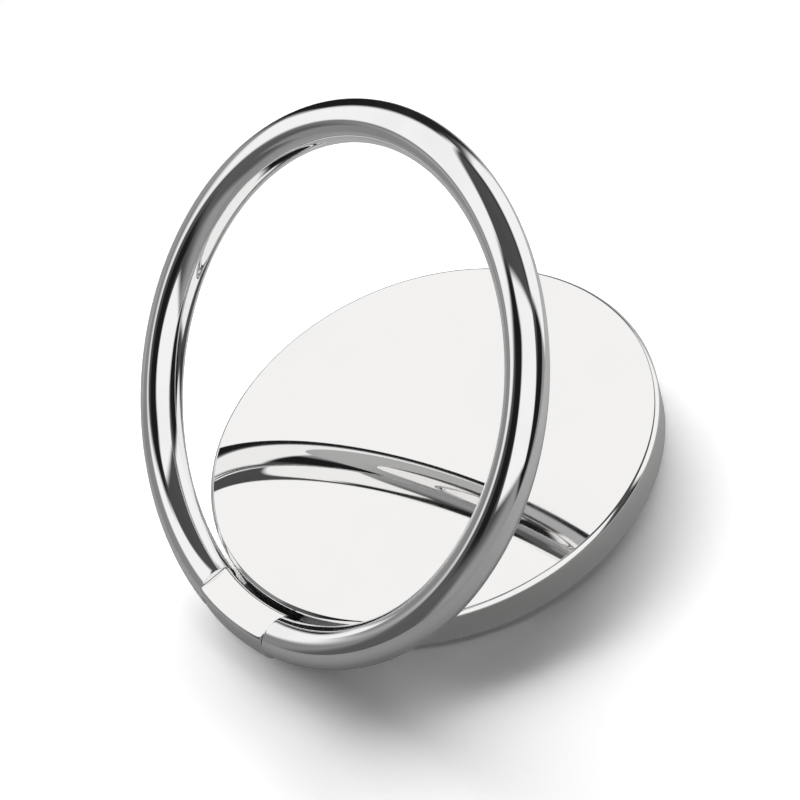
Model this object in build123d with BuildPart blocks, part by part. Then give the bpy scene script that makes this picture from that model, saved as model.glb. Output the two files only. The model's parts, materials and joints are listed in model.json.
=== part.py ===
from build123d import *
from math import asin, cos, degrees, radians, sin, tan
import os

# A phone ring holder: a mirror-polished disc that swivels on a stuck-down base plate,
# and a round-wire finger ring that folds down around the disc's rim.
# Millimetres. Origin at the centre of the adhesive face, +Z up through the disc,
# hinge axis along X on the -Y side. The ring stands raised, as it props up a phone.

# Mirror disc, measured across the corner of face and rim before its edge is bevelled
disc_diameter = 33.7
web_thickness = 1.4
rim_lift = 0.6
rim_wall = 1.25
rim_taper_angle = 5.0
edge_bevel = 0.3

# Finger ring
wire_diameter = 3.1
ring_raise_angle = 43.0
ring_end_chamfer = 0.1
ring_end_arc = 24.0
fold_clearance = 0.14
nail_gap = 0.1
phone_clearance = 0.15

# Hinge block
block_length = 7.2
block_drop = 0.1
block_top_radius = 0.4
block_bottom_radius = 1.1
crevice_width = 0.35
neck_length = 5.8
neck_height = 0.6
seam_gap = 0.1

# Hinge pin and its friction sleeve
pin_diameter = 1.0
pin_bite = 1.0
pin_chamfer = 0.12
pin_end_clearance = 0.1
sleeve_wall = 0.2
sleeve_slit = 0.3
sleeve_inset = 0.3
running_clearance = 0.02
press_clearance = 0.01

# Base plate, pressed up in the middle to house the rivet's head
plate_thickness = 0.6
plate_rim_clearance = 0.35
dish_depth = 1.0
dish_diameter = 8.4
dish_slope_angle = 45.0
dish_clearance = 0.1

# Swivel rivet, dished spring washer and glide washer
rivet_diameter = 2.0
rivet_head_diameter = 5.0
rivet_head_thickness = 0.5
rivet_head_clearance = 0.1
rivet_cover = 0.5
spring_diameter = 6.6
spring_thickness = 0.18
spring_clearance = 0.03
glide_thickness = 0.25
glide_inner_diameter = 16.0
glide_outer_diameter = 27.0
glide_clearance = 0.05
swivel_clearance = 0.05

# Adhesive pad
pad_inset = 0.3
pad_thickness = 0.4

# Sizes that follow from those above
disc_radius = disc_diameter / 2
wire_radius = wire_diameter / 2
plate_top = pad_thickness + plate_thickness
dish_floor = pad_thickness + dish_depth
dish_top = dish_floor + plate_thickness
pocket_ceiling = dish_top + dish_clearance
recess_ceiling = plate_top + glide_thickness + glide_clearance
face_height = pocket_ceiling + web_thickness
rim_taper = tan(radians(rim_taper_angle))
rim_foot_radius = disc_radius - (face_height - rim_lift) * rim_taper
recess_radius = rim_foot_radius - rim_wall
plate_radius = recess_radius - plate_rim_clearance
pad_radius = plate_radius - pad_inset
dish_slope_run = dish_depth / tan(radians(dish_slope_angle))
dish_bend_run = plate_thickness * tan(radians(dish_slope_angle / 2))
dish_foot_radius = dish_diameter / 2 + dish_slope_run
pocket_radius = dish_foot_radius + dish_bend_run + plate_rim_clearance
rivet_tip = face_height - rivet_cover
rivet_head_bottom = pad_thickness + rivet_head_clearance
rivet_head_top = rivet_head_bottom + rivet_head_thickness

# The folded ring lies close under the disc's edge: it just clears the tapered rim at the hinge,
# and stands a nail gap further off on the far side
hinge_height = phone_clearance + wire_radius
hinge_rim_radius = disc_radius - (face_height - hinge_height) * rim_taper
hinge_offset = hinge_rim_radius + (wire_radius + fold_clearance) / cos(radians(rim_taper_angle))
ring_radius = hinge_offset + nail_gap / 2
fold_centre = (0, ring_radius - hinge_offset, 0)
hinge_point = (0, -hinge_offset, hinge_height)
pin_half_length = block_length / 2 + seam_gap + pin_bite
bore_half_length = pin_half_length + pin_end_clearance
sleeve_inner_radius = pin_diameter / 2 + running_clearance
sleeve_outer_radius = sleeve_inner_radius + sleeve_wall

# The plane across the hinge, the plane that the raised ring lies in, and the planes across its wire
# at the hinge and at the top
hinge_plane = Plane(origin=hinge_point, x_dir=(0, 1, 0), z_dir=(1, 0, 0))
raise_angle = radians(ring_raise_angle)
ring_plane = Plane(origin=hinge_point, x_dir=(1, 0, 0), z_dir=(0, -sin(raise_angle), cos(raise_angle)))
ring_centre = Vector(hinge_point) + ring_plane.y_dir * ring_radius
ring_axis = Axis(ring_centre, ring_plane.z_dir)
wire_hinge_plane = Plane(origin=hinge_point, x_dir=ring_plane.y_dir, z_dir=(1, 0, 0))
ring_top = ring_centre + ring_plane.y_dir * ring_radius
wire_top_plane = Plane(origin=ring_top, x_dir=ring_plane.y_dir, z_dir=(1, 0, 0))

os.makedirs("parts", exist_ok=True)

# Hinge block: a flat-topped length of the folded ring's own arc, with its ends cut square to the hinge axis
block_inner_radius = disc_radius + crevice_width
block_outer_radius = ring_radius + wire_radius
block_top = hinge_height + wire_radius - block_drop
block_sweep = 2 * degrees(asin(block_length / 2 / block_inner_radius))
block_plane = Plane(
    origin=fold_centre,
    x_dir=Vector(0, -1, 0).rotate(Axis.Z, -block_sweep / 2),
    z_dir=Vector(-1, 0, 0).rotate(Axis.Z, -block_sweep / 2),
)

with BuildPart() as hinge_block:
    with BuildSketch(block_plane) as block_section:
        with Locations(((block_inner_radius + block_outer_radius) / 2, (phone_clearance + block_top) / 2)):
            Rectangle(block_outer_radius - block_inner_radius, block_top - phone_clearance)
        block_corners = block_section.vertices().group_by(Axis.Y)
        fillet(block_corners[0], radius=block_bottom_radius)
        fillet(block_corners[-1], radius=block_top_radius)
    revolve(axis=Axis(fold_centre, (0, 0, 1)), revolution_arc=block_sweep)
    split(bisect_by=Plane.YZ.offset(block_length / 2), keep=Keep.BOTTOM)
    split(bisect_by=Plane.YZ.offset(-block_length / 2), keep=Keep.TOP)

# Mirror disc: turned section, hollow below for the base plate and its raised centre
neck_inner = (recess_radius + rim_foot_radius) / 2
neck_outer = (block_inner_radius + block_outer_radius) / 2 - fold_centre[1]

with BuildPart() as mirror_disc:
    with BuildSketch(Plane.XZ) as disc_section:
        with BuildLine():
            Polyline(
                (0, face_height),
                (disc_radius, face_height),
                (rim_foot_radius, rim_lift),
                (recess_radius, rim_lift),
                (recess_radius, recess_ceiling),
                (pocket_radius, recess_ceiling),
                (pocket_radius, pocket_ceiling),
                (rivet_diameter / 2 + press_clearance, pocket_ceiling),
                (rivet_diameter / 2 + press_clearance, rivet_tip),
                (0, rivet_tip),
                close=True,
            )
        make_face()
        chamfer(disc_section.vertices().sort_by(Axis.X)[-1], length=edge_bevel)
    revolve(axis=Axis.Z)
    add(hinge_block.part)

    # Neck under the crevice, which joins the block to the rim
    with BuildSketch(Plane.XY.offset(rim_lift)):
        with Locations((0, -(neck_inner + neck_outer) / 2)):
            Rectangle(neck_length, neck_outer - neck_inner)
    extrude(amount=neck_height)

    # Bore for the friction sleeve
    with BuildSketch(hinge_plane):
        Circle(sleeve_outer_radius + press_clearance)
    extrude(amount=block_length, both=True, mode=Mode.SUBTRACT)
mirror_disc.part.label = "mirror_disc"
export_step(mirror_disc.part, "parts/mirror_disc.step")

# Finger ring: round wire bent full circle, with a gap for the hinge block and a blind bore in each end.
# One half is drawn and mirrored: a short arc cut square for the hinge, then the long arc up to the top.
slot_length = block_length + 2 * seam_gap
long_arc = 180 - ring_end_arc

with BuildPart() as ring_half:
    with BuildSketch(wire_hinge_plane):
        Circle(wire_radius)
    revolve(axis=ring_axis, revolution_arc=ring_end_arc)
    with BuildSketch(ring_plane):
        Rectangle(slot_length, 2 * wire_diameter)
    extrude(amount=wire_diameter, both=True, mode=Mode.SUBTRACT)
    end_face = ring_half.faces().filter_by(Axis.X).sort_by(Axis.Z)[0]
    chamfer(end_face.edges(), length=ring_end_chamfer)
    with BuildSketch(hinge_plane):
        Circle(pin_diameter / 2 + press_clearance)
    extrude(amount=bore_half_length, both=True, mode=Mode.SUBTRACT)
    with BuildSketch(wire_top_plane):
        Circle(wire_radius)
    revolve(axis=ring_axis, revolution_arc=-long_arc, clean=False)

with BuildPart() as finger_ring:
    add(ring_half.part)
    add(mirror(ring_half.part, about=Plane.YZ, mode=Mode.PRIVATE), clean=False)
finger_ring.part.label = "finger_ring"
export_step(finger_ring.part, "parts/finger_ring.step")

# Hinge pin, fixed in the ring's two ends
with BuildPart() as hinge_pin:
    with BuildSketch(hinge_plane):
        Circle(pin_diameter / 2)
    extrude(amount=pin_half_length, both=True)
    chamfer(hinge_pin.edges().filter_by(GeomType.CIRCLE), length=pin_chamfer)
hinge_pin.part.label = "hinge_pin"
export_step(hinge_pin.part, "parts/hinge_pin.step")

# Friction sleeve, slit along its lower side so that it springs onto the pin
with BuildPart() as friction_sleeve:
    with BuildSketch(hinge_plane):
        Circle(sleeve_outer_radius)
        Circle(sleeve_inner_radius, mode=Mode.SUBTRACT)
        with Locations((0, -sleeve_outer_radius)):
            Rectangle(sleeve_slit, 2 * sleeve_outer_radius - sleeve_wall, mode=Mode.SUBTRACT)
    extrude(amount=block_length / 2 - sleeve_inset, both=True)
friction_sleeve.part.label = "friction_sleeve"
export_step(friction_sleeve.part, "parts/friction_sleeve.step")

# Base plate, pressed up in the middle
with BuildPart() as swivel_plate:
    with BuildSketch(Plane.XZ):
        with BuildLine():
            Polyline(
                (plate_radius, pad_thickness),
                (dish_foot_radius, pad_thickness),
                (dish_diameter / 2, dish_floor),
                (rivet_diameter / 2 + swivel_clearance, dish_floor),
                (rivet_diameter / 2 + swivel_clearance, dish_top),
                (dish_diameter / 2 + dish_bend_run, dish_top),
                (dish_foot_radius + dish_bend_run, plate_top),
                (plate_radius, plate_top),
                close=True,
            )
        make_face()
    revolve(axis=Axis.Z)
swivel_plate.part.label = "swivel_plate"
export_step(swivel_plate.part, "parts/swivel_plate.step")

# Glide washer, lying on the base plate
with BuildPart() as glide_washer:
    with BuildSketch(Plane.XY.offset(plate_top)):
        Circle(glide_outer_diameter / 2)
        Circle(glide_inner_diameter / 2, mode=Mode.SUBTRACT)
    extrude(amount=glide_thickness)
glide_washer.part.label = "glide_washer"
export_step(glide_washer.part, "parts/glide_washer.step")

# Swivel rivet, its shank pressed into the disc and its head inside the plate's raised centre
with BuildPart() as swivel_rivet:
    with BuildSketch(Plane.XY.offset(rivet_head_bottom)):
        Circle(rivet_head_diameter / 2)
    extrude(amount=rivet_head_thickness)
    with BuildSketch(Plane.XY.offset(rivet_head_top)):
        Circle(rivet_diameter / 2)
    extrude(amount=rivet_tip - rivet_head_top)
swivel_rivet.part.label = "swivel_rivet"
export_step(swivel_rivet.part, "parts/swivel_rivet.step")

# Dished spring washer between the rivet's head and the plate
spring_bore_radius = rivet_diameter / 2 + swivel_clearance
spring_top = dish_floor - spring_clearance

with BuildPart() as spring_washer:
    with BuildSketch(Plane.XZ):
        with BuildLine():
            Polyline(
                (spring_bore_radius, rivet_head_top),
                (spring_diameter / 2, spring_top - spring_thickness),
                (spring_diameter / 2, spring_top),
                (spring_bore_radius, rivet_head_top + spring_thickness),
                close=True,
            )
        make_face()
    revolve(axis=Axis.Z)
spring_washer.part.label = "spring_washer"
export_step(spring_washer.part, "parts/spring_washer.step")

# Adhesive pad, which holds the base plate to the phone
with BuildPart() as adhesive_pad:
    with BuildSketch(Plane.XY):
        Circle(pad_radius)
    extrude(amount=pad_thickness)
adhesive_pad.part.label = "adhesive_pad"
export_step(adhesive_pad.part, "parts/adhesive_pad.step")
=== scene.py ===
import json
import logging
import math
from collections.abc import Callable
from dataclasses import dataclass, field
from enum import Enum
from typing import Any

import bpy
from mathutils import Euler, Matrix, Vector


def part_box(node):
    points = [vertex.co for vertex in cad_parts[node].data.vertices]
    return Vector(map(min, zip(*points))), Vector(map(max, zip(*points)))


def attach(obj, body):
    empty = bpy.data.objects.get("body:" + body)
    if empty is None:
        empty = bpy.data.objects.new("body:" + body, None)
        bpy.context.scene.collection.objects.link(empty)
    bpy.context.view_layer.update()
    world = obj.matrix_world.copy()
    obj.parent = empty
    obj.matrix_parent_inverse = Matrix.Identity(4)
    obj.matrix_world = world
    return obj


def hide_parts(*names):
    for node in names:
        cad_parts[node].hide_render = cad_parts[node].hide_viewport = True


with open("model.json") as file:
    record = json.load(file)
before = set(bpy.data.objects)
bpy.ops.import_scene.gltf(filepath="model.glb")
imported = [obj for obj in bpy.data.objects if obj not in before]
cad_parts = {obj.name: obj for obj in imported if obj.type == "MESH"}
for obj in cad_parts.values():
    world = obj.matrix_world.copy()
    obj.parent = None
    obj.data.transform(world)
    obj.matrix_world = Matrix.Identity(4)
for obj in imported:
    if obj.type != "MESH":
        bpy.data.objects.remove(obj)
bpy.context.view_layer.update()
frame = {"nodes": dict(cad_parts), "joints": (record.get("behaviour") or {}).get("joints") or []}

MM = 0.001
IMAGE_WIDTH = 800
LOG = logging.getLogger("ring_holder")


class Body(Enum):
    """Bodies of the holder that move as one."""

    BASE = "base"
    DISC = "disc"
    RING = "ring"


class Slot(Enum):
    """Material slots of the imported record."""

    DISC = "disc_chrome"
    RING = "ring_chrome"
    PIN = "pin_steel"
    SPRING = "spring_steel"
    PLATE = "plate_steel"
    GLIDE = "glide_plastic"
    PAD = "pad_adhesive"


class Turning(Enum):
    """Direction that the tool marks of a metal finish run in."""

    AROUND = "around the disc's axis"
    ALONG = "along the hinge axis"


# Shader expressions


class Wire:
    """A node socket that takes part in arithmetic, each operator adding a Math node."""

    def __init__(self, shader: "Shader", socket: bpy.types.NodeSocket) -> None:
        """Keeps the socket and the shader that it belongs to."""
        self.shader = shader
        self.socket = socket

    def _math(self, operation: str, first: Any, second: Any = None) -> "Wire":
        """Adds a Math node.

        Args:
            operation: Name of the Math node's operation.
            first: First operand, a wire or a number.
            second: Second operand, where the operation takes two.

        Returns:
            The result as a wire.
        """
        inputs = {0: first} if second is None else {0: first, 1: second}
        return self.shader.node("ShaderNodeMath", {"operation": operation}, inputs)

    def __add__(self, other: Any) -> "Wire":
        """Sum."""
        return self._math("ADD", self, other)

    def __radd__(self, other: Any) -> "Wire":
        """Reflected sum."""
        return self._math("ADD", other, self)

    def __sub__(self, other: Any) -> "Wire":
        """Difference."""
        return self._math("SUBTRACT", self, other)

    def __rsub__(self, other: Any) -> "Wire":
        """Reflected difference."""
        return self._math("SUBTRACT", other, self)

    def __mul__(self, other: Any) -> "Wire":
        """Product."""
        return self._math("MULTIPLY", self, other)

    def __rmul__(self, other: Any) -> "Wire":
        """Reflected product."""
        return self._math("MULTIPLY", other, self)

    def __truediv__(self, other: Any) -> "Wire":
        """Quotient."""
        return self._math("DIVIDE", self, other)

    def __rtruediv__(self, other: Any) -> "Wire":
        """Reflected quotient."""
        return self._math("DIVIDE", other, self)

    def __abs__(self) -> "Wire":
        """Size without its sign."""
        return self._math("ABSOLUTE", self)

    def hypot(self, other: "Wire") -> "Wire":
        """Length of the vector whose parts are this wire and another."""
        return self._math("SQRT", self * self + other * other)

    def bearing(self, along: "Wire") -> "Wire":
        """Angle of the point (along, self), in radians."""
        return self._math("ARCTAN2", self, along)

    def over(self, low: float, high: float) -> "Wire":
        """Smooth step between two values.

        Args:
            low: Value where the result is 0.
            high: Value where the result is 1.

        Returns:
            A wire from 0 to 1.
        """
        inputs = {"Value": self, "From Min": low, "From Max": high}
        return self.shader.node("ShaderNodeMapRange", {"interpolation_type": "SMOOTHSTEP"}, inputs)

    def towards(self, goal: Any, share: Any) -> "Wire":
        """Blend of this wire and another value by a share from 0 to 1."""
        return self + (goal - self) * share


class Shader:
    """A node tree that is being wired."""

    MIX_FIRST: int = 6
    MIX_SECOND: int = 7
    MIX_COLOR: int = 2

    def __init__(self, tree: bpy.types.NodeTree) -> None:
        """Empties the tree."""
        self.tree = tree
        tree.nodes.clear()

    def node(
        self,
        kind: str,
        settings: dict[str, Any] | None = None,
        inputs: dict[Any, Any] | None = None,
        output: Any = 0,
    ) -> Wire:
        """Adds one node.

        Args:
            kind: The node's type.
            settings: Properties that are set first; "stops" fills a colour ramp.
            inputs: Values or wires of its sockets, by name or index.
            output: Name or index of the socket that is returned.

        Returns:
            The chosen output as a wire.
        """
        made = self.tree.nodes.new(kind)
        for name, value in (settings or {}).items():
            if name == "stops":
                self._fill_ramp(made.color_ramp, value)
            else:
                setattr(made, name, value)
        for name, value in (inputs or {}).items():
            if isinstance(value, Wire):
                self.tree.links.new(value.socket, made.inputs[name])
            else:
                made.inputs[name].default_value = value
        socket = made.outputs[output] if len(made.outputs) else None
        return Wire(self, socket)

    @staticmethod
    def _fill_ramp(ramp: bpy.types.ColorRamp, stops: list[tuple[float, tuple[float, ...]]]) -> None:
        """Sets the stops of a colour ramp.

        Args:
            ramp: The colour ramp.
            stops: A place and a colour for each stop.
        """
        while len(ramp.elements) < len(stops):
            ramp.elements.new(1.0)
        for element, (place, colour) in zip(ramp.elements, stops):
            element.position = place
            element.color = (*colour, 1.0)

    def object_point(self) -> Wire:
        """Point on the piece, in metres, in the shared frame."""
        return self.node("ShaderNodeTexCoord", output="Object")

    def split(self, vector: Wire) -> tuple[Wire, Wire, Wire]:
        """Takes a vector apart.

        Args:
            vector: The vector.

        Returns:
            Its three parts.
        """
        made = self.node("ShaderNodeSeparateXYZ", inputs={0: vector})
        outputs = made.socket.node.outputs
        return Wire(self, outputs[0]), Wire(self, outputs[1]), Wire(self, outputs[2])

    def dot(self, vector: Wire, along: Any) -> Wire:
        """Length of a vector along a direction."""
        return self.node("ShaderNodeVectorMath", {"operation": "DOT_PRODUCT"}, {0: vector, 1: along}, "Value")

    def join(self, x: Any, y: Any, z: Any) -> Wire:
        """A vector from its three parts."""
        return self.node("ShaderNodeCombineXYZ", inputs={0: x, 1: y, 2: z})

    def grain(self, point: Wire, scale: float, detail: float = 2.0) -> Wire:
        """Smooth noise from about 0 to 1.

        Args:
            point: Where the noise is read.
            scale: Number of grains in a metre.
            detail: How many finer layers it has.

        Returns:
            The noise as a wire.
        """
        return self.node("ShaderNodeTexNoise", inputs={"Vector": point, "Scale": scale, "Detail": detail})

    def bump(self, height: Wire, distance: float, strength: float) -> Wire:
        """Normal of a surface with fine relief.

        Args:
            height: Relief from about 0 to 1.
            distance: How deep the relief is.
            strength: How much of it shows.

        Returns:
            The normal as a wire.
        """
        inputs = {"Strength": strength, "Distance": distance, "Height": height}
        return self.node("ShaderNodeBump", inputs=inputs)

    def ray(self, fact: str) -> Wire:
        """What is known of the ray that is being followed, such as Is Glossy Ray."""
        return self.node("ShaderNodeLightPath", output=fact)

    def mix(self, share: Wire, first: Any, second: Any) -> Wire:
        """Blend of two colours, each a wire or a constant.

        Args:
            share: 0 for the first colour, 1 for the second.
            first: First colour.
            second: Second colour.

        Returns:
            The colour as a wire.
        """
        inputs = {"Factor": share, self.MIX_FIRST: first, self.MIX_SECOND: second}
        return self.node("ShaderNodeMix", {"data_type": "RGBA"}, inputs, self.MIX_COLOR)

    def tint(self, share: Wire, dark: tuple[float, ...], light: tuple[float, ...]) -> Wire:
        """Colour between two colours.

        Args:
            share: 0 for the dark colour, 1 for the light one.
            dark: First colour.
            light: Second colour.

        Returns:
            The colour as a wire.
        """
        stops = [(0.0, dark), (1.0, light)]
        return self.node("ShaderNodeValToRGB", {"stops": stops}, {"Fac": share}, "Color")


def make_material(name: str, surface: Callable[[Shader], Wire]) -> bpy.types.Material:
    """Makes a material with its own node tree.

    Args:
        name: The material's name.
        surface: Wires the surface on the shader that it is given.

    Returns:
        The finished material.
    """
    made = bpy.data.materials.new(name)
    made.use_nodes = True
    shader = Shader(made.node_tree)
    shader.node("ShaderNodeOutputMaterial", inputs={"Surface": surface(shader)})
    return made


# Finishes


@dataclass(frozen=True)
class Finish:
    """What all finishes share: a name and a pair of colours that the surface varies between."""

    name: str
    dark: tuple[float, float, float]
    light: tuple[float, float, float]

    def surface(self, shader: Shader) -> Wire:
        """Wires the surface; each kind of finish has its own."""
        raise NotImplementedError


@dataclass(frozen=True)
class Chrome(Finish):
    """Mirror-polished plating with a faint haze where it has been wiped."""

    clear_roughness: float = 0.012
    hazed_roughness: float = 0.035
    haze_scale: float = 160.0
    haze_detail: float = 3.0
    haze_from: float = 0.45
    haze_to: float = 0.75
    polish_scale: float = 2600.0
    polish_height: float = 0.002 * MM
    polish_strength: float = 0.02

    def surface(self, shader: Shader) -> Wire:
        """Wires a clear mirror whose haze and polish are only just there.

        Args:
            shader: The material's shader.

        Returns:
            The surface.
        """
        point = shader.object_point()
        haze = shader.grain(point, self.haze_scale, self.haze_detail).over(self.haze_from, self.haze_to)
        polish = shader.grain(point, self.polish_scale)
        inputs = {
            "Base Color": shader.tint(haze, self.light, self.dark),
            "Metallic": 1.0,
            "Roughness": self.clear_roughness + haze * (self.hazed_roughness - self.clear_roughness),
            "Normal": shader.bump(polish, self.polish_height, self.polish_strength),
        }
        # a crevice can add painted shade and a matte finish here
        inputs.update(self.unpolished_and_shaded(shader, inputs))
        return shader.node("ShaderNodeBsdfPrincipled", inputs=inputs)

    def unpolished_and_shaded(self, shader: Shader, inputs: dict[str, Any]) -> dict[str, Any]:
        """Inputs that change where the metal was not polished and is darkened by painted shade; a bare wire
        has no such place.
        """
        return {}


@dataclass(frozen=True)
class CastChromeWithPaintedShade(Chrome):
    """Chrome over a casting, matte down in the hinge's crevice where no polishing wheel reaches, with painted
    shade there: its colour darkens to stand in for the crevice's shade.
    """

    crevice_inner: float = 16.5 * MM
    crevice_outer: float = 17.3 * MM
    crevice_half_length: float = 3.7 * MM
    mouth_height: float = 3.1 * MM
    dull_and_shaded_height: float = 2.4 * MM
    blend: float = 0.15 * MM
    # painted shade: this dark colour stands in for the shade down in the hinge's crevice
    painted_shade_color: tuple[float, float, float, float] = (0.15, 0.15, 0.15, 1.0)
    dull_roughness: float = 0.45

    def unpolished_and_shaded(self, shader: Shader, inputs: dict[str, Any]) -> dict[str, Any]:
        """Fades the mirror into matte plating and a dark painted-shade colour with the depth of the crevice.

        Args:
            shader: The material's shader.
            inputs: The polished surface's inputs.

        Returns:
            The base colour with the crevice's painted shade in it, and the roughness with its matte plating.
        """
        x, y, z = shader.split(shader.object_point())
        radius = x.hypot(y)
        # mask of the crevice: it darkens the colour as painted shade and raises the roughness of the matte
        # plating
        dull_and_shaded = z.over(self.mouth_height, self.dull_and_shaded_height)
        dull_and_shaded = dull_and_shaded * radius.over(self.crevice_inner - self.blend, self.crevice_inner)
        dull_and_shaded = dull_and_shaded * radius.over(self.crevice_outer + self.blend, self.crevice_outer)
        dull_and_shaded = dull_and_shaded * abs(x).over(self.crevice_half_length + self.blend, self.crevice_half_length)
        dull_and_shaded = dull_and_shaded * y.over(0.0, -self.crevice_inner / 2)
        return {
            # painted shade darkens the base colour in the crevice
            "Base Color": shader.mix(dull_and_shaded, inputs["Base Color"], self.painted_shade_color),
            "Roughness": inputs["Roughness"].towards(self.dull_roughness, dull_and_shaded),
        }


@dataclass(frozen=True)
class GroundSteel(Finish):
    """Bare steel with the fine marks of grinding, turning or rolling."""

    turning: Turning = Turning.AROUND
    mark_scale: float = 9000.0
    mark_detail: float = 4.0
    mark_stretch: float = 0.02
    mark_height: float = 0.004 * MM
    mark_strength: float = 0.25
    mark_share: float = 0.6
    stain_scale: float = 300.0
    stain_detail: float = 4.0
    stain_from: float = 0.35
    stain_to: float = 0.7
    roughness: float = 0.28
    roughness_spread: float = 0.16

    def surface(self, shader: Shader) -> Wire:
        """Wires steel whose marks run around the disc's axis or along the hinge.

        Args:
            shader: The material's shader.

        Returns:
            The surface.
        """
        spot = shader.object_point()
        x, y, z = shader.split(spot)
        if self.turning is Turning.AROUND:
            point = shader.join(x.hypot(y), y.bearing(x) * self.mark_stretch * MM, z)
        else:
            point = shader.join(x * self.mark_stretch, y, z)
        marks = shader.grain(point, self.mark_scale, self.mark_detail)
        stains = shader.grain(spot, self.stain_scale, self.stain_detail).over(self.stain_from, self.stain_to)
        inputs = {
            "Base Color": shader.tint(stains.towards(marks, self.mark_share), self.dark, self.light),
            "Metallic": 1.0,
            "Roughness": self.roughness + (marks - 0.5) * self.roughness_spread,
            "Normal": shader.bump(marks, self.mark_height, self.mark_strength),
        }
        return shader.node("ShaderNodeBsdfPrincipled", inputs=inputs)


@dataclass(frozen=True)
class GlidePlastic(Finish):
    """Natural low-friction plastic, waxy and a little cloudy."""

    cloud_scale: float = 420.0
    cloud_detail: float = 3.0
    grain_scale: float = 5200.0
    grain_height: float = 0.01 * MM
    grain_strength: float = 0.3
    roughness: float = 0.38
    roughness_spread: float = 0.15

    def surface(self, shader: Shader) -> Wire:
        """Wires a waxy plastic with soft clouds and a fine moulded grain.

        Args:
            shader: The material's shader.

        Returns:
            The surface.
        """
        point = shader.object_point()
        cloud = shader.grain(point, self.cloud_scale, self.cloud_detail)
        grain = shader.grain(point, self.grain_scale)
        inputs = {
            "Base Color": shader.tint(cloud, self.dark, self.light),
            "Roughness": self.roughness + grain * self.roughness_spread,
            "Normal": shader.bump(grain, self.grain_height, self.grain_strength),
        }
        return shader.node("ShaderNodeBsdfPrincipled", inputs=inputs)


@dataclass(frozen=True)
class TackyFoam(Finish):
    """Soft closed-cell adhesive foam, dark and slightly shiny with tack."""

    cell_scale: float = 3800.0
    cell_height: float = 0.03 * MM
    cell_strength: float = 0.5
    cell_share: float = 0.5
    mottle_scale: float = 700.0
    mottle_detail: float = 4.0
    roughness: float = 0.55
    roughness_spread: float = 0.25

    def surface(self, shader: Shader) -> Wire:
        """Wires foam with small cells and a tacky sheen.

        Args:
            shader: The material's shader.

        Returns:
            The surface.
        """
        point = shader.object_point()
        cells = shader.node("ShaderNodeTexVoronoi", inputs={"Vector": point, "Scale": self.cell_scale})
        mottle = shader.grain(point, self.mottle_scale, self.mottle_detail)
        inputs = {
            "Base Color": shader.tint(mottle.towards(cells, self.cell_share), self.dark, self.light),
            "Roughness": self.roughness + mottle * self.roughness_spread,
            "Normal": shader.bump(cells, self.cell_height, self.cell_strength),
        }
        return shader.node("ShaderNodeBsdfPrincipled", inputs=inputs)


# the disc's chrome, with painted shade in the hinge's crevice
DISC_CHROME = CastChromeWithPaintedShade("disc chrome", (0.928, 0.918, 0.912), (0.940, 0.930, 0.924))
RING_CHROME = Chrome("ring chrome", (0.88, 0.88, 0.88), (0.93, 0.93, 0.93))
PIN_STEEL = GroundSteel("pin steel", (0.52, 0.52, 0.53), (0.68, 0.68, 0.69), turning=Turning.ALONG)
RIVET_STEEL = GroundSteel("rivet steel", (0.52, 0.52, 0.53), (0.68, 0.68, 0.69))
SPRING_STEEL = GroundSteel("spring steel", (0.36, 0.35, 0.34), (0.52, 0.51, 0.50), roughness=0.34)
PLATE_STEEL = GroundSteel("plate steel", (0.60, 0.60, 0.60), (0.74, 0.74, 0.74), roughness=0.24)
GLIDE_PLASTIC = GlidePlastic("glide plastic", (0.78, 0.78, 0.74), (0.89, 0.89, 0.86))
PAD_FOAM = TackyFoam("pad foam", (0.10, 0.10, 0.11), (0.21, 0.21, 0.22))


# Modelling by hand


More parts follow.
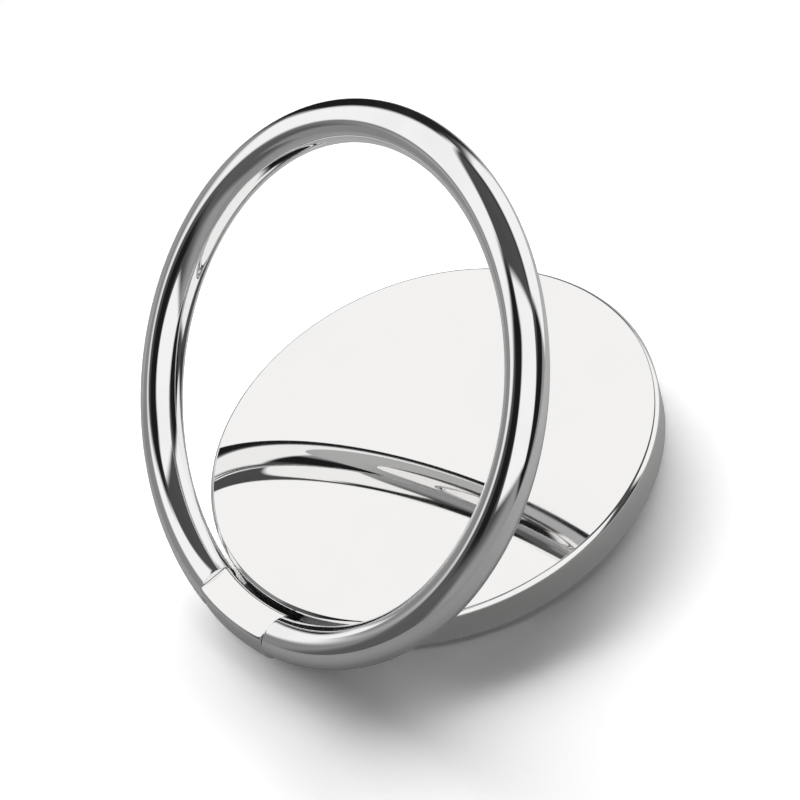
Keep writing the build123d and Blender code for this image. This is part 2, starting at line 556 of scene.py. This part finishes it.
class Bench:
    """Edit-mode moves that the pieces are modelled with."""

    # Blender's own distances suit a large model and would leave the thin wire's end ragged
    CLOSE: float = 0.001 * MM
    DOUBLES: float = 0.0005 * MM
    MIRROR_SEAM: float = 0.002 * MM
    CUT_THRESHOLD: float = 0.0001 * MM

    @staticmethod
    def clear() -> None:
        """Leaves edit mode and deselects everything."""
        if bpy.context.object and bpy.context.object.mode != "OBJECT":
            bpy.ops.object.mode_set(mode="OBJECT")
        bpy.ops.object.select_all(action="DESELECT")

    @staticmethod
    def pick(kind: str, wanted: Callable[[list[Vector]], bool]) -> None:
        """Selects the vertices, edges or faces of the object in edit mode by their corners.

        Args:
            kind: VERT, EDGE or FACE.
            wanted: Says from an element's corner points whether it is selected.
        """
        bpy.ops.mesh.select_mode(type=kind)
        bpy.ops.mesh.select_all(action="DESELECT")
        bpy.ops.object.mode_set(mode="OBJECT")
        mesh = bpy.context.object.data
        corners = [vertex.co for vertex in mesh.vertices]
        if kind == "VERT":
            for vertex in mesh.vertices:
                vertex.select = wanted([vertex.co])
        else:
            for element in mesh.edges if kind == "EDGE" else mesh.polygons:
                element.select = wanted([corners[i] for i in element.vertices])
        bpy.ops.object.mode_set(mode="EDIT")

    @staticmethod
    def all_at(corners: list[Vector], x: float) -> bool:
        """Says whether all corners lie in the plane across the hinge at one place."""
        return all(abs(corner.x - x) < Bench.CLOSE for corner in corners)

    @staticmethod
    def round_over(width: float, steps: int = 3) -> list[tuple[float, float]]:
        """Steps along and across that round an end over by a quarter circle.

        Args:
            width: Radius of the rounding.
            steps: How many facets it has.

        Returns:
            For each facet, how far it goes along and how far it goes in.
        """
        turns = [math.pi / 2 * step / steps for step in range(steps + 1)]
        return [
            (width * (math.sin(after) - math.sin(before)), width * (math.cos(before) - math.cos(after)))
            for before, after in zip(turns, turns[1:])
        ]

    @staticmethod
    def extrude_scaled(move: tuple[float, float, float], share: float, centre: Vector) -> None:
        """Extrudes the selected end along the hinge and scales it across.

        Args:
            move: How far it is moved.
            share: Scale across the hinge.
            centre: Point that it is scaled about.
        """
        bpy.ops.mesh.extrude_region_move(TRANSFORM_OT_translate={"value": move})
        bpy.ops.transform.resize(value=(1.0, share, share), center_override=centre)

    @staticmethod
    def place() -> bpy.types.Object:
        """Puts the active object's place into its mesh, with normals outwards.

        Returns:
            The object, at the origin.
        """
        Bench.clear()
        piece = bpy.context.object
        piece.select_set(True)
        bpy.ops.object.transform_apply(location=True, rotation=True, scale=True)
        bpy.ops.object.mode_set(mode="EDIT")
        bpy.ops.mesh.select_all(action="SELECT")
        bpy.ops.mesh.remove_doubles(threshold=Bench.DOUBLES)
        bpy.ops.mesh.normals_make_consistent(inside=False)
        bpy.ops.object.mode_set(mode="OBJECT")
        return piece

    @staticmethod
    def mirror_halves() -> None:
        """Mirrors the active object across the middle of the hinge and applies it."""
        piece = Bench.place()
        mirror = piece.modifiers.new("other half", "MIRROR")
        mirror.use_axis = (True, False, False)
        mirror.use_clip = True
        mirror.merge_threshold = Bench.MIRROR_SEAM
        bpy.ops.object.modifier_apply(modifier=mirror.name)
        Bench.place()

    @staticmethod
    def smooth(angle: float) -> None:
        """Shades the active object smooth, with its wide faces kept as true flats.

        Args:
            angle: Edges sharper than this stay sharp.
        """
        bpy.ops.object.shade_smooth_by_angle(angle=angle)
        flats = bpy.context.object.modifiers.new("true flats", "WEIGHTED_NORMAL")
        flats.keep_sharp = True
        bpy.ops.object.modifier_apply(modifier=flats.name)


def dress(piece: bpy.types.Object, finish: Finish) -> None:
    """Gives a piece one finish all over.

    Args:
        piece: The object to dress.
        finish: Its finish.
    """
    piece.data.materials.clear()
    piece.data.materials.append(make_material(finish.name, finish.surface))
    for polygon in piece.data.polygons:
        polygon.material_index = 0


# Sub-assemblies


def fold_joint() -> dict[str, Any]:
    """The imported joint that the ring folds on."""
    return next(joint for joint in frame["joints"] if joint["name"] == "ring_fold")


@dataclass
class FingerRing:
    """Round-wire ring, hinged at its gap and bored for the hinge pin."""

    wire_radius: float = 1.55 * MM
    slot_half_length: float = 3.64 * MM
    end_round: float = 0.04 * MM
    bore_radius: float = 0.51 * MM
    bore_depth: float = 1.16 * MM
    section_steps: int = 96
    arc_steps: int = 220
    spare_arc: float = math.radians(9.0)
    sharp_angle: float = math.radians(40.0)
    hinge: Vector = field(default_factory=Vector)
    raise_angle: float = 0.0
    bend_radius: float = 0.0
    reach: Vector = field(default_factory=Vector)

    def __post_init__(self) -> None:
        """Takes the ring's place and size from the frame."""
        fold = fold_joint()
        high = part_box("finger_ring")[1]
        self.hinge = Vector(fold["pos_m"])
        self.raise_angle = math.radians(-fold["range_deg"][0])
        across = high.x - self.wire_radius
        upward = (high.z - self.hinge.z - self.wire_radius) / (2 * math.sin(self.raise_angle))
        self.bend_radius = min(across, upward)
        self.reach = Vector((0.0, math.cos(self.raise_angle), math.sin(self.raise_angle)))

    def build(self) -> bpy.types.Object:
        """Spins the wire's section half way round, cuts its end for the hinge, and mirrors it.

        Returns:
            The ring as one mesh.
        """
        axis = Vector((0.0, -math.sin(self.raise_angle), math.cos(self.raise_angle)))
        centre = self.hinge + self.reach * self.bend_radius
        Bench.clear()
        bpy.ops.mesh.primitive_circle_add(
            vertices=self.section_steps,
            radius=self.wire_radius,
            location=centre + self.reach * self.bend_radius,
            rotation=(0.0, math.pi / 2, 0.0),
        )
        bpy.context.object.name = "finger_ring_polished"
        bpy.ops.object.mode_set(mode="EDIT")
        bpy.ops.mesh.select_all(action="SELECT")
        bpy.ops.mesh.spin(
            steps=self.arc_steps,
            angle=math.pi - self.spare_arc,
            center=centre,
            axis=axis,
        )
        self._cut_end()
        Bench.mirror_halves()
        Bench.smooth(self.sharp_angle)
        return bpy.context.object

    def _cut_end(self) -> None:
        """Cuts the end square, rounds it over and sinks the bore for the pin."""
        cut = self.slot_half_length + self.end_round
        Bench.place()
        bpy.ops.object.mode_set(mode="EDIT")
        Bench.pick("FACE", lambda corners: corners[0].z < self.hinge.z + 2 * self.wire_radius)
        bpy.ops.mesh.bisect(
            plane_co=(cut, 0.0, 0.0),
            plane_no=(1.0, 0.0, 0.0),
            use_fill=True,
            clear_inner=True,
            threshold=Bench.CUT_THRESHOLD,
        )
        Bench.place()
        bpy.ops.object.mode_set(mode="EDIT")
        Bench.pick("FACE", lambda corners: Bench.all_at(corners, cut))
        radius = self.wire_radius
        sag = self.reach * (self.bend_radius - math.sqrt(self.bend_radius**2 - cut**2))
        for step_back, shrink in Bench.round_over(self.end_round):
            Bench.extrude_scaled((-step_back, 0.0, 0.0), (radius - shrink) / radius, self.hinge + sag)
            radius -= shrink
        Bench.extrude_scaled((0.0, -sag.y, -sag.z), self.bore_radius / radius, self.hinge)
        bpy.ops.mesh.extrude_region_move(TRANSFORM_OT_translate={"value": (self.bore_depth, 0.0, 0.0)})

    def finish(self) -> bpy.types.Object:
        """Builds the ring, dresses it and sets it on its body.

        Returns:
            The finished ring.
        """
        ring = self.build()
        dress(ring, RING_CHROME)
        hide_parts("finger_ring")
        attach(ring, Body.RING.value)
        return ring


@dataclass
class MirrorDisc:
    """Turned disc with its bevelled face, hollow underside and hinge block."""

    rim_lift: float = 0.6 * MM
    rim_wall: float = 1.25 * MM
    rim_taper: float = math.radians(5.0)
    edge_bevel: float = 0.3 * MM
    edge_round: float = 0.09 * MM
    foot_round: float = 0.12 * MM
    recess_ceiling: float = 1.3 * MM
    pocket_radius: float = 5.8 * MM
    pocket_ceiling: float = 2.1 * MM
    rivet_radius: float = 1.01 * MM
    rivet_cover: float = 0.5 * MM
    turn_steps: int = 480
    edge_steps: int = 4
    edge_near: float = 0.002 * MM
    sharp_angle: float = math.radians(30.0)
    block_half_length: float = 3.6 * MM
    block_top: float = 3.15 * MM
    block_bottom: float = 0.15 * MM
    block_inner_radius: float = 17.2 * MM
    block_outer_radius: float = 19.984 * MM
    block_top_round: float = 0.4 * MM
    block_bottom_round: float = 1.1 * MM
    block_end_round: float = 0.03 * MM
    block_steps: int = 16
    block_round_steps: int = 10
    bore_steps: int = 64
    sleeve_fit: float = 0.01 * MM
    fold_offset: float = 0.05 * MM
    neck_half_length: float = 2.9 * MM
    neck_height: float = 0.6 * MM
    neck_inner: float = 15.97 * MM
    neck_outer: float = 18.54 * MM
    corner_radius: float = 16.85 * MM
    face_height: float = 0.0

    def __post_init__(self) -> None:
        """Takes the face's height from the frame."""
        self.face_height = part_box("mirror_disc")[1].z

    def profile(self) -> list[tuple[float, float]]:
        """Works out the turned section, from the face's edge to the rivet hole.

        Returns:
            Radius and height of each ring of the section.
        """
        lean = math.tan(self.rim_taper)
        bevel_drop = self.edge_bevel * math.cos(self.rim_taper)
        bevel_radius = self.corner_radius - self.edge_bevel * math.sin(self.rim_taper)
        foot_radius = self.corner_radius - (self.face_height - self.rim_lift) * lean
        recess_radius = foot_radius - self.rim_wall
        return [
            (self.corner_radius - self.edge_bevel, self.face_height),
            (bevel_radius, self.face_height - bevel_drop),
            (foot_radius, self.rim_lift),
            (recess_radius, self.rim_lift),
            (recess_radius, self.recess_ceiling),
            (self.pocket_radius, self.recess_ceiling),
            (self.pocket_radius, self.pocket_ceiling),
            (self.rivet_radius, self.pocket_ceiling),
            (self.rivet_radius, self.face_height - self.rivet_cover),
        ]

    def build_turning(self) -> bpy.types.Object:
        """Turns the disc: the face, then each ring of the profile extruded from the one before.

        Returns:
            The turned disc.
        """
        rings = self.profile()
        radius, height = rings[0]
        Bench.clear()
        bpy.ops.mesh.primitive_circle_add(
            vertices=self.turn_steps,
            radius=radius,
            fill_type="NGON",
            location=(0.0, 0.0, height),
        )
        bpy.context.object.name = "mirror_disc_polished"
        bpy.ops.object.mode_set(mode="EDIT")
        bpy.ops.mesh.select_mode(type="EDGE")
        bpy.ops.mesh.select_all(action="SELECT")
        for (radius, height), (next_radius, next_height) in zip(rings, rings[1:]):
            share = next_radius / radius
            bpy.ops.mesh.extrude_edges_move(
                TRANSFORM_OT_translate={"value": (0.0, 0.0, next_height - height)},
            )
            bpy.ops.transform.resize(value=(share, share, 1.0), center_override=(0.0, 0.0, next_height))
        bpy.ops.mesh.edge_face_add()
        Bench.place()
        bpy.ops.object.mode_set(mode="EDIT")
        for ring, width in ((0, self.edge_round), (1, self.edge_round), (2, self.foot_round)):
            self._round_ring(rings[ring], width)
        return Bench.place()

    def _round_ring(self, ring: tuple[float, float], width: float) -> None:
        """Rounds one edge of the turned disc.

        Args:
            ring: Radius and height of the edge.
            width: Width of the rounding.
        """
        radius, height = ring

        def on_ring(corners: list[Vector]) -> bool:
            """Says whether both ends lie on the edge."""
            return all(
                abs(corner.z - height) < self.edge_near and abs(corner.xy.length - radius) < self.edge_near
                for corner in corners
            )

        Bench.pick("EDGE", on_ring)
        bpy.ops.mesh.bevel(offset=width, segments=self.edge_steps)

    def _block_reach(self, x: float) -> tuple[float, float]:
        """Middle and width of the block's section at a place along the hinge.

        Args:
            x: Distance from the middle of the hinge.

        Returns:
            The section's middle and its width, both along Y.
        """
        inner = self.fold_offset - math.sqrt(self.block_inner_radius**2 - x**2)
        outer = self.fold_offset - math.sqrt(self.block_outer_radius**2 - x**2)
        return (inner + outer) / 2, inner - outer

    def build_block(self) -> bpy.types.Object:
        """Extrudes the block's rounded section along the arc of the ring, and rounds its ends over.

        Returns:
            The hinge block.
        """
        height = self.block_top - self.block_bottom
        middle_height = (self.block_top + self.block_bottom) / 2
        middle, width = self._block_reach(0.0)
        Bench.clear()
        bpy.ops.mesh.primitive_plane_add(
            size=1.0,
            location=(0.0, middle, middle_height),
            rotation=(0.0, math.pi / 2, 0.0),
        )
        bpy.context.object.name = "hinge_block"
        bpy.ops.object.mode_set(mode="EDIT")
        bpy.ops.mesh.select_all(action="SELECT")
        bpy.ops.transform.resize(value=(1.0, width, height))
        Bench.place()
        bpy.ops.object.mode_set(mode="EDIT")
        for rounding, above in ((self.block_top_round, True), (self.block_bottom_round, False)):
            Bench.pick("VERT", lambda corners: (corners[0].z > middle_height) is above)
            bpy.ops.mesh.bevel(offset=rounding, affect="VERTICES", segments=self.block_round_steps)
        bpy.ops.mesh.select_mode(type="FACE")
        bpy.ops.mesh.select_all(action="SELECT")
        straight = self.block_half_length - self.block_end_round
        x = 0.0
        for step in range(1, self.block_steps + 1):
            next_x = straight * step / self.block_steps
            next_middle, next_width = self._block_reach(next_x)
            bpy.ops.mesh.extrude_region_move(
                TRANSFORM_OT_translate={"value": (next_x - x, next_middle - middle, 0.0)},
            )
            bpy.ops.transform.resize(
                value=(1.0, next_width / width, 1.0),
                center_override=(next_x, next_middle, middle_height),
            )
            x, middle, width = next_x, next_middle, next_width
        for step_along, shrink in Bench.round_over(self.block_end_round):
            share = (height - 2 * shrink) / height
            Bench.extrude_scaled((step_along, 0.0, 0.0), share, Vector((x, middle, middle_height)))
            height -= 2 * shrink
        Bench.pick("FACE", lambda corners: Bench.all_at(corners, 0.0))
        bpy.ops.mesh.delete(type="ONLY_FACE")
        Bench.mirror_halves()
        block = bpy.context.object
        self._bore(block)
        return block

    def _bore(self, block: bpy.types.Object) -> None:
        """Bores the block for the friction sleeve along the hinge axis.

        Args:
            block: The hinge block.
        """
        Bench.clear()
        low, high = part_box("friction_sleeve")
        bpy.ops.mesh.primitive_cylinder_add(
            vertices=self.bore_steps,
            radius=(high.y - low.y) / 2 + self.sleeve_fit,
            depth=3 * self.block_half_length,
            location=(low + high) / 2,
            rotation=(0.0, math.pi / 2, 0.0),
        )
        drill = bpy.context.object
        Bench.clear()
        bpy.context.view_layer.objects.active = block
        block.select_set(True)
        cut = block.modifiers.new("bore", "BOOLEAN")
        cut.operation = "DIFFERENCE"
        cut.object = drill
        bpy.ops.object.modifier_apply(modifier=cut.name)
        Bench.clear()
        drill.select_set(True)
        bpy.ops.object.delete()
        bpy.context.view_layer.objects.active = block
        Bench.place()

    def build_neck(self) -> bpy.types.Object:
        """Extrudes the neck that joins the block to the rim under the crevice.

        Returns:
            The neck.
        """
        Bench.clear()
        bpy.ops.mesh.primitive_plane_add(
            size=1.0,
            location=(0.0, -(self.neck_inner + self.neck_outer) / 2, self.rim_lift),
        )
        bpy.context.object.name = "hinge_neck"
        bpy.ops.object.mode_set(mode="EDIT")
        bpy.ops.mesh.select_all(action="SELECT")
        bpy.ops.transform.resize(value=(2 * self.neck_half_length, self.neck_outer - self.neck_inner, 1.0))
        bpy.ops.mesh.extrude_region_move(TRANSFORM_OT_translate={"value": (0.0, 0.0, self.neck_height)})
        return Bench.place()

    def build(self) -> bpy.types.Object:
        """Joins the turned disc, the hinge block and the neck.

        Returns:
            The disc as one mesh.
        """
        disc = self.build_turning()
        added = [self.build_block(), self.build_neck()]
        Bench.clear()
        for piece in (*added, disc):
            piece.select_set(True)
        bpy.context.view_layer.objects.active = disc
        bpy.ops.object.join()
        Bench.smooth(self.sharp_angle)
        return disc

    def finish(self) -> bpy.types.Object:
        """Builds the disc, dresses it and sets it on its body.

        Returns:
            The finished disc.
        """
        disc = self.build()
        dress(disc, DISC_CHROME)
        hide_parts("mirror_disc")
        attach(disc, Body.DISC.value)
        return disc


@dataclass
class Mechanism:
    """Pieces that are kept as they are packed, and only dressed."""

    finishes: dict[str, Finish] = field(
        default_factory=lambda: {
            "hinge_pin": PIN_STEEL,
            "friction_sleeve": SPRING_STEEL,
            "swivel_plate": PLATE_STEEL,
            "glide_washer": GLIDE_PLASTIC,
            "swivel_rivet": RIVET_STEEL,
            "spring_washer": SPRING_STEEL,
            "adhesive_pad": PAD_FOAM,
        }
    )

    def finish(self) -> list[bpy.types.Object]:
        """Dresses each piece of the hinge and the swivel.

        Returns:
            The dressed pieces.
        """
        dressed = []
        for node, finish in self.finishes.items():
            piece = frame["nodes"][node]
            dress(piece, finish)
            dressed.append(piece)
        return dressed


# Studio


@dataclass(frozen=True)
class Panel:
    """A flat soft-edged panel far from the object, bright as a softbox or dark as a flag.

    Angles are in degrees: where the middle of the panel is seen, half its width and height, how
    soft its edges are and how far it leans.
    """

    bearing: float
    height: float
    half_width: float
    half_height: float
    level: float
    edge: float = 4.0
    lean: float = 0.0

    def cover(self, shader: Shader, direction: Wire) -> Wire:
        """How far the panel covers a direction.

        Args:
            shader: The world's shader.
            direction: The direction looked in.

        Returns:
            1 on the panel, 0 off it, and in between on its soft edge.
        """
        turn = Euler((0.0, -math.radians(self.height), math.radians(self.bearing)))
        facing = turn.to_matrix() @ Matrix.Rotation(math.radians(self.lean), 3, "X")
        ahead, aside, above = (shader.dot(direction, facing.col[axis]) for axis in range(3))
        inside = 1.0
        for reach, half in ((aside, self.half_width), (above, self.half_height)):
            outer = math.radians(half + self.edge)
            inner = math.radians(half - self.edge)
            inside = abs(reach).bearing(ahead).over(outer, inner) * inside
        return inside


@dataclass
class Studio:
    """Floor, card, surroundings and camera."""

    floor_radius: float = 70.0 * MM
    floor_steps: int = 256
    floor_white: float = 1.0
    floor_to_camera: float = 1.3
    floor_in_mirror: float = 0.25
    front_glow: float = 0.02
    back_glow: float = 0.20
    glow_front: float = -60.0 * MM
    glow_back: float = 40.0 * MM
    aim: Vector = field(default_factory=lambda: Vector((-2.6366, 0.0641, 5.9759)) * MM)
    distance: float = 310.581 * MM
    azimuth: float = math.radians(67.805)
    elevation: float = math.radians(44.884)
    roll: float = math.radians(-23.703)
    focal_pixels: float = 4321.33
    sensor_width: float = 36.0
    clip_start: float = 10.0 * MM
    clip_end: float = 10.0
    ground_level: float = 0.18
    horizon_level: float = 0.30
    upper_level: float = 0.075
    zenith_level: float = 0.07
    ground_fade: tuple[float, float] = (-1.0, -0.2)
    upper_fade: tuple[float, float] = (0.0, 0.4)
    zenith_fade: tuple[float, float] = (0.9, 0.98)
    panels: tuple[Panel, ...] = (
        Panel(bearing=225, height=-8, half_width=20, half_height=16, level=0.40, edge=8, lean=30),
        Panel(bearing=97, height=43, half_width=34, half_height=3, level=0.04, edge=2.5),
        Panel(bearing=183, height=38, half_width=44, half_height=31, level=0.95, edge=3, lean=22),
        Panel(bearing=258, height=3, half_width=26, half_height=17, level=0.10, edge=10),
        Panel(bearing=28, height=3, half_width=34, half_height=14, level=0.012, edge=4, lean=12),
        Panel(bearing=348, height=44, half_width=38, half_height=32, level=0.95, edge=3, lean=-33),
        Panel(bearing=269, height=46, half_width=15, half_height=25, level=0.012, edge=5),
        Panel(bearing=89, height=5, half_width=29, half_height=31, level=0.95, edge=4, lean=8),
        Panel(bearing=148, height=3, half_width=26, half_height=27, level=0.012, edge=6, lean=-20),
    )
    backdrop_white: float = 1.0
    first_bounce: tuple[float, float] = (0.1, 0.9)
    fill_level: float = 0.02
    key: Panel = Panel(bearing=157, height=8, half_width=62, half_height=29, level=9.3, edge=6)
    top: Panel = Panel(bearing=91, height=63, half_width=62, half_height=7, level=0.9, edge=6)
    card_bearing: float = math.radians(219.0)
    card_distance: float = 50.0 * MM
    card_width: float = 50.0 * MM
    card_height: float = 33.0 * MM
    card_fade: float = 9.0 * MM
    card_level: float = 0.24

    def floor_surface(self, shader: Shader) -> Wire:
        """Wires the floor: white, whiter to the camera, and dark with a graded glow in the metal.

        Args:
            shader: The floor's shader.

        Returns:
            The surface.
        """
        glossy = shader.ray("Is Glossy Ray")
        gain = self.floor_to_camera - self.floor_white
        white = shader.ray("Is Camera Ray") * gain + self.floor_white
        back = shader.split(shader.object_point())[1].over(self.glow_front, self.glow_back)
        glow = back * (self.back_glow - self.front_glow) + self.front_glow
        inputs = {
            "Base Color": white.towards(self.floor_in_mirror, glossy),
            "Roughness": 1.0,
            "Specular IOR Level": 0.0,
            "Emission Color": glossy * glow,
            "Emission Strength": 1.0,
        }
        return shader.node("ShaderNodeBsdfPrincipled", inputs=inputs)

    def build_floor(self) -> bpy.types.Object:
        """Makes the round floor.

        Returns:
            The floor.
        """
        Bench.clear()
        bpy.ops.mesh.primitive_circle_add(
            vertices=self.floor_steps,
            radius=self.floor_radius,
            fill_type="NGON",
        )
        floor = bpy.context.object
        floor.name = "floor"
        floor.data.materials.append(make_material("floor white", self.floor_surface))
        return floor

    def card_place(self) -> tuple[Vector, Vector]:
        """Works out where the card stands, beside the hinge.

        Returns:
            The foot of its middle, and the direction that it runs in.
        """
        away = Vector((math.cos(self.card_bearing), math.sin(self.card_bearing), 0.0))
        foot = Vector(fold_joint()["pos_m"]) + away * self.card_distance
        return Vector((foot.x, foot.y, 0.0)), Vector((-away.y, away.x, 0.0))

    def card_surface(self, shader: Shader) -> Wire:
        """Wires the card: grey in the metal, fading out at its top and sides, and clear elsewhere.

        Args:
            shader: The card's shader.

        Returns:
            The surface.
        """
        foot, sideways = self.card_place()
        point = shader.object_point()
        half_width = self.card_width / 2
        beside = abs(shader.dot(point, sideways) - foot.dot(sideways))
        solid = beside.over(half_width, half_width - self.card_fade)
        solid = solid * shader.split(point)[2].over(self.card_height, self.card_height - self.card_fade)
        solid = solid * shader.ray("Is Glossy Ray")
        grey = (self.card_level, self.card_level, self.card_level, 1.0)
        shown = shader.node("ShaderNodeEmission", inputs={"Color": grey})
        clear = shader.node("ShaderNodeBsdfTransparent")
        return shader.node("ShaderNodeMixShader", inputs={0: solid, 1: clear, 2: shown})

    def build_card(self) -> bpy.types.Object:
        """Stands a grey card on the floor beside the hinge, which shows only in the metal.

        Returns:
            The card.
        """
        foot, _ = self.card_place()
        Bench.clear()
        bpy.ops.mesh.primitive_plane_add(
            size=1.0,
            location=(foot.x, foot.y, self.card_height / 2),
            rotation=(math.pi / 2, 0.0, self.card_bearing + math.pi / 2),
        )
        card = bpy.context.object
        card.name = "card"
        card.scale = (self.card_width, self.card_height, 1.0)
        Bench.place()
        card.data.materials.append(make_material("card grey", self.card_surface))
        return card

    def build_world(self) -> bpy.types.World:
        """Wires the surroundings: white to the eye, panels to the metal, soft light to the floor.

        Returns:
            The world.
        """
        world = bpy.data.worlds.new("studio")
        world.use_nodes = True
        shader = Shader(world.node_tree)
        direction = shader.node("ShaderNodeTexCoord", output="Generated")
        height = shader.dot(direction, (0.0, 0.0, 1.0))
        rise = self.horizon_level - self.ground_level
        level = self.ground_level + height.over(*self.ground_fade) * rise
        level = level.towards(self.upper_level, height.over(*self.upper_fade))
        level = level.towards(self.zenith_level, height.over(*self.zenith_fade))
        for panel in self.panels:
            level = level.towards(panel.level, panel.cover(shader, direction))
        soft = self.fill_level
        for lamp in (self.key, self.top):
            soft = lamp.cover(shader, direction) * lamp.level + soft
        scattered = shader.ray("Diffuse Depth").over(*self.first_bounce)
        level = level.towards(self.fill_level, scattered)
        seen = soft.towards(level, shader.ray("Is Glossy Ray"))
        seen = seen.towards(self.backdrop_white, shader.ray("Is Camera Ray"))
        background = shader.node("ShaderNodeBackground", inputs={"Color": seen, "Strength": 1.0})
        shader.node("ShaderNodeOutputWorld", inputs={"Surface": background})
        bpy.context.scene.world = world
        return world

    def build_camera(self) -> bpy.types.Object:
        """Sets up the camera at the photograph's place, turned about its line of sight.

        Returns:
            The camera.
        """
        level = math.cos(self.elevation)
        back = Vector(
            (
                math.sin(self.azimuth) * level,
                -math.cos(self.azimuth) * level,
                math.sin(self.elevation),
            )
        )
        lens = bpy.data.cameras.new("camera")
        lens.sensor_width = self.sensor_width
        lens.lens = self.focal_pixels / IMAGE_WIDTH * self.sensor_width
        lens.clip_start = self.clip_start
        lens.clip_end = self.clip_end
        camera = bpy.data.objects.new("camera", lens)
        bpy.context.scene.collection.objects.link(camera)
        upright = (-back).to_track_quat("-Z", "Y").to_matrix().to_4x4()
        rolled = upright @ Matrix.Rotation(self.roll, 4, "Z")
        camera.matrix_world = Matrix.Translation(self.aim + back * self.distance) @ rolled
        bpy.context.scene.camera = camera
        return camera

    def build(self) -> None:
        """Builds the floor, the card, the surroundings and the camera, with plain colour settings."""
        self.build_floor()
        self.build_card()
        self.build_world()
        self.build_camera()
        bpy.context.scene.view_settings.view_transform = "Standard"


def main() -> None:
    """Builds the sub-assemblies in order and reports each piece."""
    logging.basicConfig(level=logging.INFO, format="%(message)s")
    for assembly in (MirrorDisc(), FingerRing()):
        piece = assembly.finish()
        LOG.info("%s: %d faces", piece.name, len(piece.data.polygons))
    for piece in Mechanism().finish():
        LOG.info("%s: dressed", piece.name)
    Studio().build()


if __name__ == "__main__":
    main()
